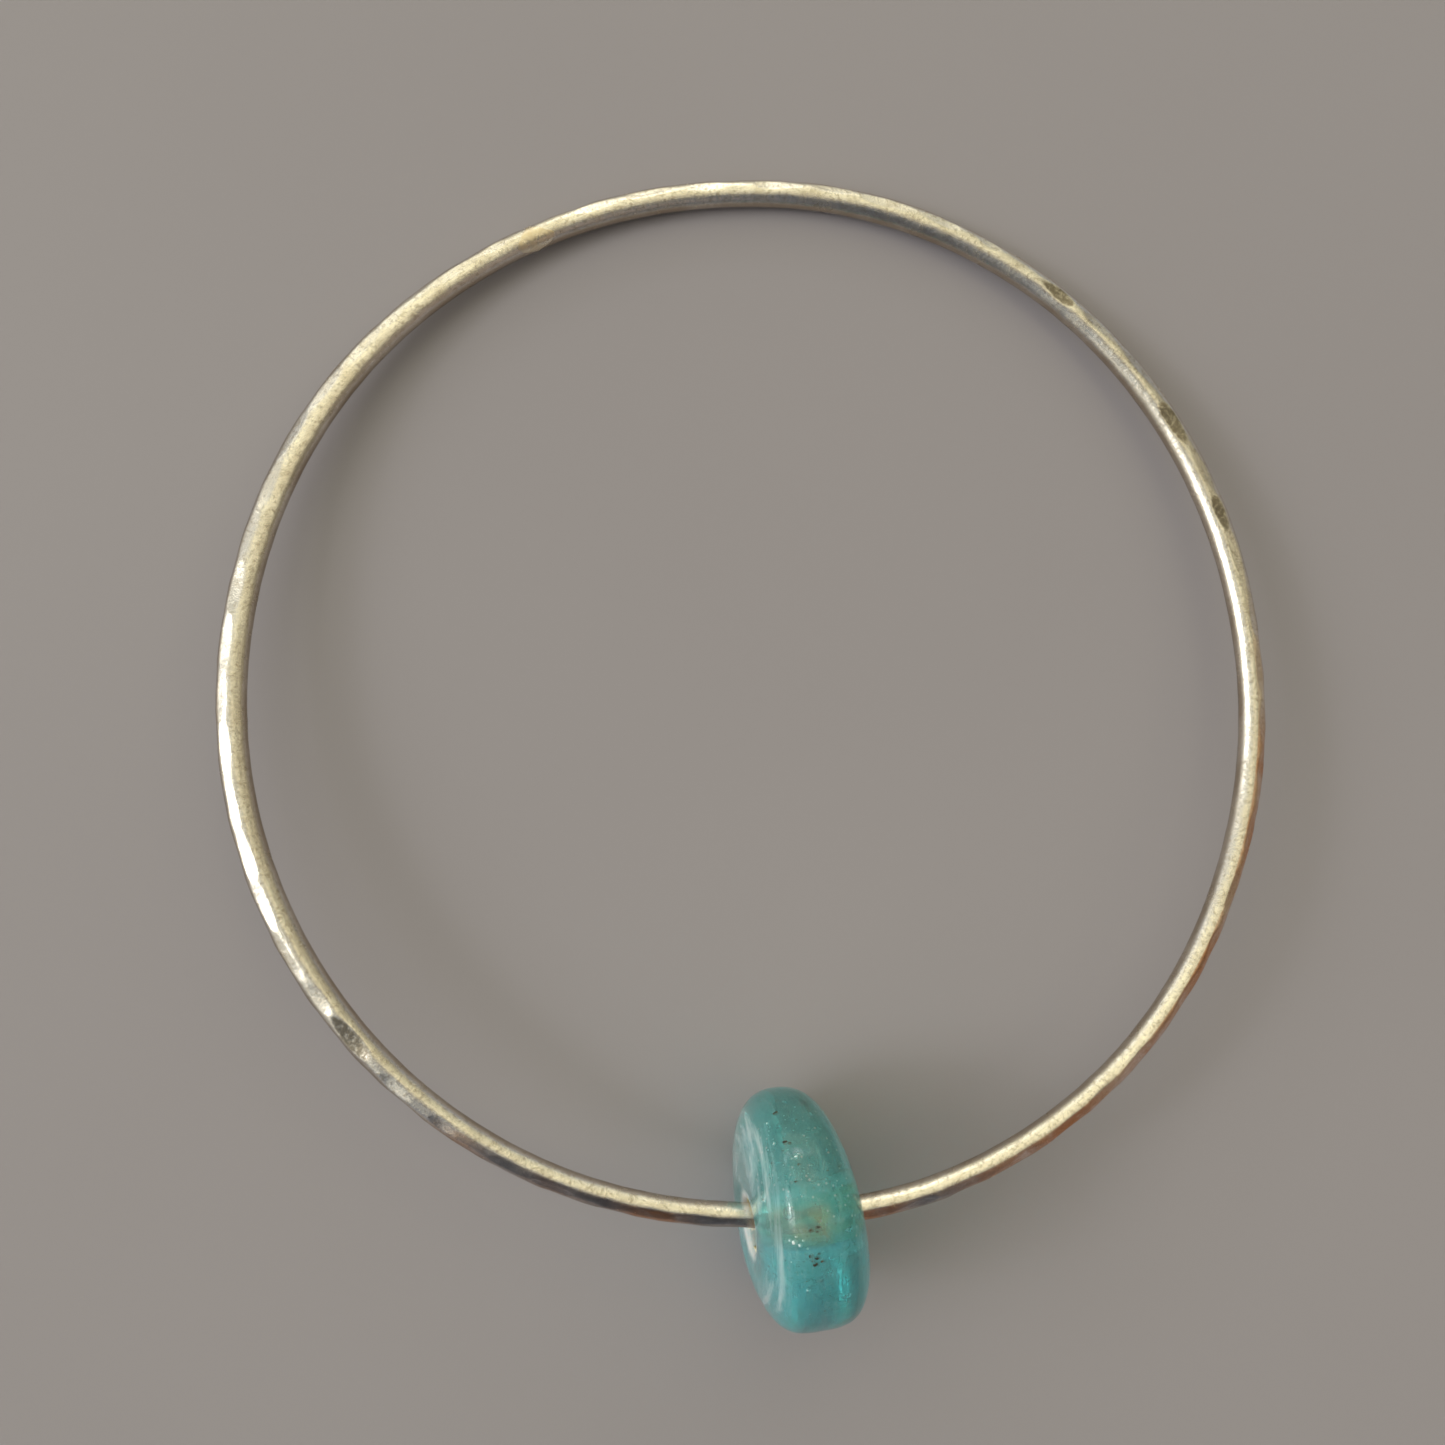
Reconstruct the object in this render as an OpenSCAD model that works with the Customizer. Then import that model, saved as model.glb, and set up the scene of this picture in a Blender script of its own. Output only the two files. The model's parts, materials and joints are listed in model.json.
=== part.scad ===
// Bangle bracelet: a closed hoop of hammered round silver wire with one loose
// disc-shaped glass bead threaded on it. It is drawn the way it lies on a
// table: on the rim of the bead and on the far side of the hoop. The origin is
// the centre of the footprint, the table is z = 0 and the bead is towards -Y.
// Millimetres.

/* [Hoop] */
// Inside diameter of the hoop, the size a bangle is sold by
inner_d = 65; // [56:0.5:72]
// Diameter of the round wire
wire_d = 1.65; // [1.4:0.05:1.85]
// Length of wire that the soldered seam takes up
seam_l = 0.3; // [0.2:0.05:0.6]
// Where the seam is, in degrees round the hoop from the bead
seam_at = 204; // [150:1:210]

/* [Bead] */
// Diameter of the glass disc
bead_d = 14.7; // [13:0.1:18]
// Thickness of the disc if its faces had no dip
bead_t = 7.1; // [6:0.1:8]
// How far each face dips in round the hole
face_dip = 0.45; // [0:0.05:0.5]
// Diameter of the hole
hole_d = 3.2; // [2.8:0.05:3.5]
// Chamfer where the hole meets each face
hole_chamfer = 0.35; // [0.2:0.05:0.5]

/* [Hidden] */

wire_r = wire_d / 2;
hoop_r = inner_d / 2 + wire_r;          // to the middle of the wire
bead_r = bead_d / 2;

// The hoop lies on the bead's rim and on the wire opposite, so it leans.
lean = asin((bead_r - wire_r) / (2 * hoop_r));
hoop_y = (bead_r - wire_r) / 2;
hoop_z = (bead_r + wire_r) / 2;

seam_angle = seam_l / hoop_r * 180 / PI;
seam_az = -90 + seam_at;                // azimuth in the hoop's own plane

// Half thickness of the disc at a distance r from its axis
function bead_half(r) = bead_t / 2 * pow(1 - pow(r / bead_r, 2.8), 0.4)
    - face_dip * pow(max(0, 1 - pow(r / (0.6 * bead_r), 2)), 2);
// Distances from the axis, closer together towards the rim
function bead_ring(i, n) = bead_r * sin(90 * i / n);

// From the hoop's own plane to how it lies
module laid() {
    translate([0, hoop_y, hoop_z]) rotate([-lean, 0, 0]) children();
}

// Wire bent to the hoop's circle, over an angle from the X axis
module wire_arc(angle) {
    rotate_extrude(angle = angle, $fn = 180)
        translate([hoop_r, 0]) circle(r = wire_r, $fn = 32);
}

// One length of round wire, from one side of the seam round to the other. Its
// hammered outside is a surface finish and isn't cut here.
module hoop_wire() {
    color([0.78, 0.75, 0.68]) laid()
        rotate([0, 0, seam_az + seam_angle / 2]) wire_arc(360 - seam_angle);
}

// Solder that filled the gap between the two ends of the wire
module solder_seam() {
    color([0.74, 0.70, 0.60]) laid()
        rotate([0, 0, seam_az - seam_angle / 2]) wire_arc(seam_angle);
}

// The disc turned from its outline, with its hole along the wire
module bead_disc() {
    n = 28;
    difference() {
        rotate_extrude($fn = 96) polygon(concat(
            [for (i = [0 : n]) [bead_ring(i, n), bead_half(bead_ring(i, n))]],
            [for (i = [n - 1 : -1 : 0]) [bead_ring(i, n), -bead_half(bead_ring(i, n))]]));
        cylinder(d = hole_d, h = 2 * bead_t, center = true, $fn = 64);
        for (s = [0, 1]) mirror([0, 0, s])
            translate([0, 0, bead_half(hole_d / 2) - hole_chamfer])
                cylinder(d1 = hole_d, d2 = hole_d + 4 * hole_chamfer,
                    h = 2 * hole_chamfer, $fn = 64);
    }
}

module glass_bead() {
    color([0.25, 0.60, 0.58, 0.7]) laid()
        translate([0, -hoop_r, 0]) rotate([0, 90, 0]) bead_disc();
}

hoop_wire();
solder_seam();
glass_bead();
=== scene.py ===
"""A closed bangle of hammered silver wire with one loose disc of teal lampworked glass.

Everything is in metres in the row frame. The hoop's own plane leans a little, so shapes on the
hoop are made in hoop coordinates: azimuth round the hoop from +X, distance out, and height along
the hoop's axis. Lengths written in millimetres are turned into metres by MM.
"""

import json
import math
import random

import bmesh
import bpy
import numpy as np
from mathutils import Matrix, Vector, noise
from mathutils.bvhtree import BVHTree


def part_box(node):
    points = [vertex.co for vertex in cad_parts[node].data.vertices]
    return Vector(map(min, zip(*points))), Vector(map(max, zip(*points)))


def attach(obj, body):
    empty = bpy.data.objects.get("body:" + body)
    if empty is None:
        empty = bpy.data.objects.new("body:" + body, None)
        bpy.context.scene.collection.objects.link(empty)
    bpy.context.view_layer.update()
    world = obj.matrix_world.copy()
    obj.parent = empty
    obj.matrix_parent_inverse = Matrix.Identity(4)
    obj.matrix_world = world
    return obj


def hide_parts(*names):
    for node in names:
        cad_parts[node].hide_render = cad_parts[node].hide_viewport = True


MM = 0.001
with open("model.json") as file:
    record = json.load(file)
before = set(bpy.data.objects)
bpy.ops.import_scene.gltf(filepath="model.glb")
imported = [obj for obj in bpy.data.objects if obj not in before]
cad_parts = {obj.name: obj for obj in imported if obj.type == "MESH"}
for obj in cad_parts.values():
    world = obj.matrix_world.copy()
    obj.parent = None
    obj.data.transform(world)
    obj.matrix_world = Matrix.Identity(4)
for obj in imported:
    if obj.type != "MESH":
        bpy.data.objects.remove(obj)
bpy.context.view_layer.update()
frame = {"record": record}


# ---------------------------------------------------------------- the frame's own measures
joint = frame["record"]["behaviour"]["joints"][0]
HOOP_O = np.array(joint["pos_m"], float)
EZ = np.array(joint["axis"], float)
EZ /= np.linalg.norm(EZ)
EX = np.array([1.0, 0.0, 0.0])
EY = np.cross(EZ, EX)
bead_lo, bead_hi = (np.array(c, float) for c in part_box("glass_bead"))
BEAD_O = (bead_lo + bead_hi) / 2
HOOP_R = float(np.linalg.norm(BEAD_O - HOOP_O)) / MM  # 33.325
hoop_lo, hoop_hi = (np.array(c, float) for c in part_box("hoop_wire"))
WIRE_R = float(hoop_hi[0] - hoop_lo[0]) / 2 / MM - HOOP_R  # 0.825
BEAD_R = float(bead_hi[2] - bead_lo[2]) / 2 / MM  # 7.35
seam_lo, seam_hi = (np.array(c, float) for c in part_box("solder_seam"))
seam_c = (seam_lo + seam_hi) / 2 - HOOP_O
SEAM_AZ = math.degrees(math.atan2(seam_c @ EY, seam_c @ EX))


def hoop_point(az_deg, r_mm, h_mm):
    """Points in the row frame from azimuth in degrees, distance out and height, arrays or numbers."""
    a = np.radians(az_deg)
    r, h = np.asarray(r_mm) * MM, np.asarray(h_mm) * MM
    c, s = np.cos(a) * r, np.sin(a) * r
    return (
        HOOP_O
        + c[..., None] * EX
        + s[..., None] * EY
        + (h + 0 * c)[..., None] * EZ
    )


def smoothstep(a, b, x):
    t = np.clip((x - a) / (b - a), 0, 1)
    return t * t * (3 - 2 * t)


def smin(a, b, k):
    h = np.maximum(k - np.abs(a - b), 0) / k
    return np.minimum(a, b) - h * h * k / 4


def periodic(table, az):
    """A smooth closed curve through (azimuth, value) pairs, read at az (degrees)."""
    pts = sorted(table)
    xs = np.array([p[0] for p in pts], float)
    ys = np.array([p[1] for p in pts], float)
    xs = np.concatenate([xs - 360, xs, xs + 360])
    ys = np.tile(ys, 3)
    # Catmull-Rom slopes on uneven knots
    m = np.gradient(ys, xs)
    az = (np.asarray(az, float) + 180) % 360 - 180
    i = np.clip(np.searchsorted(xs, az) - 1, 0, len(xs) - 2)
    h = xs[i + 1] - xs[i]
    t = (az - xs[i]) / h
    return (
        (2 * t**3 - 3 * t**2 + 1) * ys[i]
        + (t**3 - 2 * t**2 + t) * h * m[i]
        + (-2 * t**3 + 3 * t**2) * ys[i + 1]
        + (t**3 - t**2) * h * m[i + 1]
    )


# ---------------------------------------------------------------- node helpers
class Sock:
    """A shader socket that takes part in sums, so that patterns read as formulas."""

    def __init__(self, nt, s):
        self.nt, self.s = nt, s

    def _op(self, op, *others):
        n = self.nt.nodes.new("ShaderNodeMath")
        n.operation = op
        for i, v in enumerate((self, *others)):
            if isinstance(v, Sock):
                self.nt.links.new(v.s, n.inputs[i])
            else:
                n.inputs[i].default_value = v
        return Sock(self.nt, n.outputs[0])

    def __add__(self, o):
        return self._op("ADD", o)

    def __sub__(self, o):
        return self._op("SUBTRACT", o)

    def __mul__(self, o):
        return self._op("MULTIPLY", o)

    def __truediv__(self, o):
        return self._op("DIVIDE", o)

    def power(self, o):
        return self._op("POWER", o)

    def absolute(self):
        return self._op("ABSOLUTE")

    def maximum(self, o):
        return self._op("MAXIMUM", o)

    def minimum(self, o):
        return self._op("MINIMUM", o)

    def rise(self, a, b, lo=0.0, hi=1.0, smooth=True):
        """lo below a and hi above b, with a smooth ramp between."""
        n = self.nt.nodes.new("ShaderNodeMapRange")
        n.interpolation_type = "SMOOTHSTEP" if smooth else "LINEAR"
        n.clamp = True
        if a > b:
            a, b, lo, hi = b, a, hi, lo
        self.nt.links.new(self.s, n.inputs["Value"])
        n.inputs["From Min"].default_value = a
        n.inputs["From Max"].default_value = b
        n.inputs["To Min"].default_value = lo
        n.inputs["To Max"].default_value = hi
        return Sock(self.nt, n.outputs["Result"])


class Mat:
    """A node material with the few node kinds used here."""

    def __init__(self, name, world=False):
        if world:
            self.m = bpy.data.worlds.new(name)
        else:
            self.m = bpy.data.materials.new(name)
        self.m.use_nodes = True
        self.nt = self.m.node_tree
        self.nt.nodes.clear()

    def node(self, kind, **kw):
        n = self.nt.nodes.new(kind)
        for k, v in kw.items():
            setattr(n, k, v)
        return n

    def put(self, socket, value):
        if isinstance(value, Sock):
            self.nt.links.new(value.s, socket)
        elif isinstance(value, (tuple, list)) and len(value) == 3 and socket.type == "RGBA":
            socket.default_value = (*value, 1.0)
        else:
            socket.default_value = value

    def coord(self, which="Object"):
        n = self.node("ShaderNodeTexCoord")
        return Sock(self.nt, n.outputs[which])

    def attr(self, name, out="Fac"):
        n = self.node("ShaderNodeAttribute", attribute_name=name)
        return Sock(self.nt, n.outputs[out])

    def uv(self):
        n = self.node("ShaderNodeUVMap", uv_map="UVMap")
        return Sock(self.nt, n.outputs[0])

    def scaled(self, vec, scale, shift=(0, 0, 0)):
        n = self.node("ShaderNodeMapping")
        self.nt.links.new(vec.s, n.inputs["Vector"])
        n.inputs["Scale"].default_value = scale
        n.inputs["Location"].default_value = shift
        return Sock(self.nt, n.outputs[0])

    def split(self, vec):
        n = self.node("ShaderNodeSeparateXYZ")
        self.nt.links.new(vec.s, n.inputs[0])
        return [Sock(self.nt, o) for o in n.outputs]

    def noise(self, vec, scale, detail=3.0, rough=0.5, distort=0.0):
        n = self.node("ShaderNodeTexNoise")
        self.nt.links.new(vec.s, n.inputs["Vector"])
        n.inputs["Scale"].default_value = scale
        n.inputs["Detail"].default_value = detail
        n.inputs["Roughness"].default_value = rough
        n.inputs["Distortion"].default_value = distort
        return Sock(self.nt, n.outputs["Fac"])

    def cells(self, vec, scale, feature="F1", rand=1.0):
        n = self.node("ShaderNodeTexVoronoi", feature=feature)
        self.nt.links.new(vec.s, n.inputs["Vector"])
        n.inputs["Scale"].default_value = scale
        n.inputs["Randomness"].default_value = rand
        return Sock(self.nt, n.outputs["Distance"])

    def mix(self, fac, a, b, blend="MIX"):
        n = self.node("ShaderNodeMix", data_type="RGBA", blend_type=blend)
        n.clamp_factor = True
        self.put(n.inputs[0], fac)
        self.put(n.inputs[6], a)
        self.put(n.inputs[7], b)
        return Sock(self.nt, n.outputs[2])

    def bump(self, height, strength, distance, normal=None):
        n = self.node("ShaderNodeBump")
        self.put(n.inputs["Height"], height)
        n.inputs["Strength"].default_value = strength
        n.inputs["Distance"].default_value = distance
        if normal is not None:
            self.put(n.inputs["Normal"], normal)
        return Sock(self.nt, n.outputs[0])

    def principled(self, **kw):
        p = self.node("ShaderNodeBsdfPrincipled")
        for k, v in kw.items():
            self.put(p.inputs[k.replace("_", " ")], v)
        out = self.node("ShaderNodeOutputMaterial")
        self.nt.links.new(p.outputs[0], out.inputs["Surface"])
        self.out = out
        return self.m


def mesh_object(name, verts, faces, mat, smooth=True):
    me = bpy.data.meshes.new(name)
    me.from_pydata([tuple(map(float, v)) for v in verts], [], [tuple(f) for f in faces])
    me.validate()
    me.update()
    if smooth:
        me.shade_smooth()
    ob = bpy.data.objects.new(name, me)
    bpy.context.collection.objects.link(ob)
    if mat is not None:
        me.materials.append(mat)
    return ob


def grid_faces(n, m, wrap_n=False, wrap_m=True, flip=False):
    """Quads of an n by m grid of points kept row by row."""
    faces = []
    for i in range(n if wrap_n else n - 1):
        i2 = (i + 1) % n
        for j in range(m if wrap_m else m - 1):
            j2 = (j + 1) % m
            f = (i * m + j, i * m + j2, i2 * m + j2, i2 * m + j)
            faces.append(f[::-1] if flip else f)
    return faces


# ---------------------------------------------------------------- hammered wire
# How the hoop strays from a circle, in mm outwards, against azimuth: it was rounded by hand.
STRAY = [
    (-171, 0.10), (-162, 0.12), (-153, 0.11), (-143, 0.08), (-134, 0.04), (-125, -0.02),
    (-115, -0.10), (-106, -0.20), (-96, -0.27), (-87, -0.12), (-77, 0.12), (-66, 0.20), (-56, 0.23),
    (-46, 0.20), (-36, 0.09), (-25, -0.08), (-15, -0.16), (-4, -0.22), (6, -0.23), (16, -0.10),
    (27, 0.04), (37, 0.15), (48, 0.25), (58, 0.27), (68, 0.25), (79, 0.12), (89, -0.10),
    (100, -0.20), (110, -0.25), (120, -0.25), (130, -0.18), (140, -0.10), (150, -0.06),
    (160, -0.05), (170, -0.02), (179, 0.04),
]
# Radial thickness of the wire, in mm, against azimuth: hammering thinned some stretches.
THICK = [
    (-171, 1.90), (-162, 1.90), (-153, 1.86), (-143, 1.78), (-134, 1.70), (-125, 1.66),
    (-115, 1.62), (-106, 1.58), (-96, 1.56), (-87, 1.58), (-77, 1.62), (-66, 1.60), (-56, 1.62),
    (-46, 1.60), (-36, 1.66), (-25, 1.70), (-15, 1.76), (-4, 1.78), (6, 1.78), (16, 1.84),
    (27, 1.84), (37, 1.80), (48, 1.78), (58, 1.80), (68, 1.84), (79, 1.80), (89, 1.74),
    (100, 1.72), (110, 1.68), (120, 1.68), (130, 1.76), (140, 1.84), (150, 1.90),
    (160, 1.90), (170, 1.90), (179, 1.90),
]
# Hammer marks: azimuth, roll round the wire from straight out (90 is the top side), half length
# in mm, depth in mm.
MARKS = [
    (-176.1, 54, 1.75, 0.05), (-170.5, 46, 1.75, 0.05), (-164.9, 58, 1.75, 0.05), (-159.3, 50, 1.75, 0.05),
    (-153.7, 42, 1.75, 0.05), (-148.1, 60, 1.2, 0.05), (-143.0, 75, 1.75, 0.08), (-136.0, 50, 1.3, 0.05),
    (-129.5, 48, 1.2, 0.05), (-122.0, 45, 1.2, 0.05), (-116.8, 40, 1.5, 0.06), (-110.5, 50, 0.75, 0.035),
    (-105.9, 48, 1.2, 0.04), (-101.1, 45, 1.5, 0.05), (-94.3, 50, 1.6, 0.05), (-86.5, 45, 1.5, 0.05),
    (-81.3, 45, 1.0, 0.04), (-77.1, 42, 1.45, 0.05), (-70.5, 45, 2.3, 0.05), (-64.3, 40, 1.3, 0.05),
    (-58.4, 45, 1.75, 0.05), (-53.2, 55, 1.4, 0.04), (-48.1, 45, 1.75, 0.055), (-38.8, 42, 1.75, 0.05),
    (-32.6, 45, 1.2, 0.04), (-26.0, 52, 1.7, 0.045), (-19.0, 40, 1.75, 0.05), (-12.2, 40, 1.4, 0.05),
    (-6.5, 45, 1.5, 0.05), (-0.2, 50, 1.6, 0.05), (6.0, 45, 1.5, 0.05), (10.4, 85, 0.45, 0.02),
    (13.4, 61, 1.75, 0.045), (18.1, 84, 1.45, 0.044), (23.8, 60, 1.5, 0.04), (30.0, 88, 1.75, 0.066),
    (37.3, 66, 1.75, 0.038), (43.8, 58, 1.6, 0.045), (50.3, 84, 1.45, 0.051), (59.7, 70, 0.9, 0.03),
    (66.0, 56, 1.5, 0.05), (72.1, 60, 2.0, 0.05), (78.9, 50, 1.5, 0.04), (85.1, 55, 1.6, 0.05),
    (93.4, 58, 1.5, 0.05), (99.6, 50, 1.7, 0.05), (105.8, 55, 1.6, 0.05), (118.6, 65, 0.9, 0.04),
    (123.7, 60, 2.0, 0.05), (132.5, 72, 1.0, 0.03), (137.3, 58, 1.75, 0.05), (143.3, 50, 1.75, 0.05),
    (149.2, 42, 1.75, 0.05), (155.1, 54, 1.75, 0.05), (160.9, 46, 1.75, 0.05), (166.7, 58, 1.75, 0.05),
    (172.5, 50, 1.75, 0.05), (178.2, 42, 1.75, 0.05),
]
rng = random.Random(7)
marks = [(m[0], m[1] + (14 if m[1] < 65 else 0), m[2], m[3] * (1.5 if m[1] < 65 else 1.6)) for m in MARKS]
# the rest of the outer side and underside, which the marks above leave bare
for k in range(58):
    az = -177 + k * 6.2 + rng.uniform(-1.0, 1.0)
    marks.append((az, rng.uniform(4, 28), rng.uniform(1.3, 1.9), rng.uniform(0.04, 0.07)))
    marks.append((az + 2.6 + rng.uniform(-0.8, 0.8), rng.uniform(-38, -22), rng.uniform(1.2, 1.8), rng.uniform(0.03, 0.055)))
    marks.append((az + 1.0 + rng.uniform(-1.0, 1.0), rng.uniform(-78, -58), rng.uniform(1.0, 1.7), rng.uniform(0.02, 0.05)))

# the marks that have darkened in their hollows, by azimuth
DARK_MARKS = (-143.0, 18.1, 30.0, 50.3)

CORE = math.degrees(0.10 / HOOP_R)  # the wire's ends stop this far from the middle of the seam


def wire_half(az):
    a = periodic(THICK, az) / 2
    b = WIRE_R + 0.30 * (WIRE_R - a)
    return a, np.minimum(b, WIRE_R + 0.03)


def wire_section(az, psi):
    """Distance from the wire's middle line, in mm, for arrays of azimuth (n, 1) and roll (1, m) in degrees."""
    a, b = wire_half(az)
    p = np.radians(psi)
    rho = 1 / np.sqrt((np.cos(p) / a) ** 2 + (np.sin(p) / b) ** 2)
    cut, dark = np.zeros_like(rho), np.zeros_like(rho)
    skews = random.Random(17)
    for m_az, m_psi, length, depth in marks:
        skew = skews.uniform(-0.75, 0.75)
        d_az = (az - m_az + 180) % 360 - 180
        t = np.radians(d_az) * HOOP_R / length
        rows = np.abs(t[:, 0]) < 1
        if not rows.any():
            continue
        q = math.radians(m_psi)
        support = np.sqrt((a[rows] * math.cos(q)) ** 2 + (b[rows] * math.sin(q)) ** 2)
        deep = depth * (1 - t[rows] ** 2) * (1 + skew * t[rows])
        facing = np.cos(p - q)
        limit = np.where(facing > 0.3, (support - deep) / np.maximum(facing, 0.3), 9.0)
        new = smin(rho[rows], limit, 0.006)
        cut[rows] = np.maximum(cut[rows], rho[rows] - new)
        if m_az in DARK_MARKS:
            dark[rows] = np.maximum(dark[rows], rho[rows] - new)
        rho[rows] = new
    return rho, cut, dark


def wire_waves(az, psi):
    """Shallow unevenness of hand-drawn, hand-hammered wire, in mm."""
    out = np.zeros((az.shape[0], psi.shape[1]))
    r2 = random.Random(3)
    for k in range(14):
        n = r2.randint(20, 150)
        out += (
            r2.uniform(0.001, 0.0028)
            * np.sin(np.radians(az * n) + r2.uniform(0, 6.3))
            * np.cos(np.radians(psi * r2.randint(0, 3)) + r2.uniform(0, 6.3))
        )
    return out


def build_wire(n=2100, m=44):
    az = SEAM_AZ + CORE + np.linspace(0, 360 - 2 * CORE, n)
    az = ((az + 180) % 360 - 180)[:, None]
    psi = np.linspace(0, 360, m, endpoint=False)[None, :]
    rho, cut, dark = wire_section(az, psi)
    rho = rho + wire_waves(az, psi)
    stray = periodic(STRAY, az)
    p = np.radians(psi)
    r = HOOP_R + stray + rho * np.cos(p)
    h = rho * np.sin(p)
    pts = hoop_point(az + 0 * psi, r, h)
    pts[..., 2] = np.maximum(pts[..., 2], 0.0)  # worn flat where it stands on the table
    verts = pts.reshape(-1, 3)
    faces = grid_faces(n, m)
    # a fan at each end, which the solder covers
    first = len(verts)
    ends = []
    for row in (0, n - 1):
        c = hoop_point(az[row : row + 1], np.array([[HOOP_R + stray[row, 0]]]), np.array([[0.0]]))[0, 0]
        ends.append(c)
    verts = np.vstack([verts, np.array(ends)])
    for j in range(m):
        j2 = (j + 1) % m
        faces.append((first, j2, j))
        faces.append((first + 1, (n - 1) * m + j, (n - 1) * m + j2))
    ob = mesh_object("hammered_wire", verts, faces, None)
    me = ob.data
    # UV: millimetres along the wire and round it, tenths so that both stay small
    along = np.radians(np.linspace(0, 360 - 2 * CORE, n)) * HOOP_R
    loops = np.zeros(len(me.loops), int)
    me.loops.foreach_get("vertex_index", loops)
    row, col = loops // m, loops % m
    u = along[np.clip(row, 0, n - 1)] / 10
    v = col * 2 * math.pi * WIRE_R / m / 10
    # the last strip of each ring closes on itself
    start = np.zeros(len(me.polygons), int)
    total = np.zeros(len(me.polygons), int)
    me.polygons.foreach_get("loop_start", start)
    me.polygons.foreach_get("loop_total", total)
    full = 2 * math.pi * WIRE_R / 10
    quad = total == 4
    q_loops = start[quad][:, None] + np.arange(4)[None, :]
    vv = v[q_loops]
    wrapped = (vv.max(1) - vv.min(1)) > full / 2
    vv[wrapped] = np.where(vv[wrapped] < full / 2, vv[wrapped] + full, vv[wrapped])
    v[q_loops] = vv
    uv = me.uv_layers.new(name="UVMap")
    uv.data.foreach_set("uv", np.stack([u, v], 1).ravel())
    col_attr = me.color_attributes.new("marks", "FLOAT_COLOR", "POINT")
    wear = np.concatenate([(cut / 0.06).ravel(), [0, 0]])
    wear = np.clip(wear, 0, 1)
    col_attr.data.foreach_set("color", np.stack([wear, wear, wear, np.ones_like(wear)], 1).ravel())
    # the sides and underside darken: painted shade, with some tarnish; one stretch of the outer side is reddish: a
    # painted reflection of the warm room
    side = smoothstep(0.86, 0.25, np.sin(np.radians(psi))) + 0 * az
    # painted reflection of the warm room on the upper outer side, over one stretch of azimuth
    brown_reflection = smoothstep(12, -18, az) * smoothstep(-136, -118, az) * smoothstep(0.0, 0.18, np.cos(np.radians(psi))) * smoothstep(-0.05, 0.30, np.sin(np.radians(psi)))
    patchy = 0.5 + 0.5 * np.sin(np.radians(az * 23)) * np.cos(np.radians(az * 7.3 + 40))
    # painted reflection: blue-grey patches among the reddish ones, in the part of that stretch past about -70 degrees
    slate_reflection = brown_reflection * (1 - patchy) * smoothstep(-62, -80, az)
    for name, amount in (("side", side), ("brown_reflection", brown_reflection * (0.45 + 0.55 * patchy)), ("slate_reflection", slate_reflection), ("hollow", np.clip(dark / 0.02, 0, 1))):
        amount = np.clip(np.concatenate([amount.ravel(), [1, 1]]), 0, 1)
        attr = me.color_attributes.new(name, "FLOAT_COLOR", "POINT")
        attr.data.foreach_set("color", np.stack([amount, amount, amount, np.ones_like(amount)], 1).ravel())
    return ob


# ---------------------------------------------------------------- silver
def silver_material():
    k = Mat("silver_hammered")
    obj = k.coord("Object")
    uv = k.uv()
    cut = k.attr("marks")
    streak = k.noise(k.scaled(uv, (3.0, 60.0, 1.0)), 4.0, 4.0, 0.6)  # drawn along the wire
    fine = k.noise(k.scaled(uv, (12.0, 160.0, 1.0), (3, 1, 0)), 6.0, 2.0, 0.5)
    blotch = k.noise(obj, 620.0, 4.0, 0.55, 0.4)
    grain = k.noise(obj, 3400.0, 3.0, 0.65)
    tarnish = k.noise(k.scaled(obj, (1, 1, 1), (0.3, 0.1, 0.7)), 190.0, 4.0, 0.6, 0.6)
    col = k.mix(blotch.rise(0.35, 0.7), (0.95, 0.92, 0.85), (0.88, 0.83, 0.73))
    col = k.mix(grain.rise(0.50, 0.66, 0.0, 0.55), col, (0.55, 0.48, 0.37))
    col = k.mix(tarnish.rise(0.55, 0.75, 0.0, 0.35), col, (0.66, 0.56, 0.42))
    col = k.mix(streak.rise(0.52, 0.72, 0.0, 0.45), col, (0.56, 0.49, 0.40))
    # painted shade: the wire's sides and underside darker, broken up by tarnish noise
    col = k.mix(k.attr("side") * tarnish.rise(0.25, 0.65, 0.55, 0.95), col, (0.43, 0.35, 0.26))
    # painted reflection: the reddish stretch on the outer side
    col = k.mix(k.attr("brown_reflection") * blotch.rise(0.25, 0.6, 0.5, 1.0), col, (0.64, 0.29, 0.13))
    # painted reflection: blue-grey patches in that stretch
    col = k.mix(k.attr("slate_reflection") * blotch.rise(0.25, 0.6, 0.6, 1.0), col, (0.26, 0.30, 0.32))
    col = k.mix(k.attr("hollow") * grain.rise(0.32, 0.56, 0.55, 1.0), col, (0.31, 0.27, 0.21))
    rough = blotch.rise(0.3, 0.75, 0.13, 0.24) + grain.rise(0.35, 0.75, 0.0, 0.09)
    rough = rough + cut * -0.03
    n1 = k.bump(streak, 0.40, 0.00002)
    n2 = k.bump(fine, 0.30, 0.00001, n1)
    n2 = k.bump(grain, 0.45, 0.00003, n2)
    n3 = k.bump(blotch, 0.42, 0.00008, n2)
    return k.principled(Base_Color=col, Metallic=1.0, Roughness=rough, Normal=n3)


def solder_material():
    k = Mat("silver_solder")
    obj = k.coord("Object")
    blotch = k.noise(obj, 1500.0, 4.0, 0.6, 0.5)
    pits = k.cells(obj, 5200.0)
    col = k.mix(blotch.rise(0.35, 0.65), (0.90, 0.82, 0.66), (0.82, 0.70, 0.50))
    rough = blotch.rise(0.3, 0.7, 0.22, 0.40)
    n1 = k.bump(blotch, 0.5, 0.00006)
    n2 = k.bump(pits.rise(0.0, 0.3), 0.35, 0.00002, n1)
    return k.principled(Base_Color=col, Metallic=1.0, Roughness=rough, Normal=n2)


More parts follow.
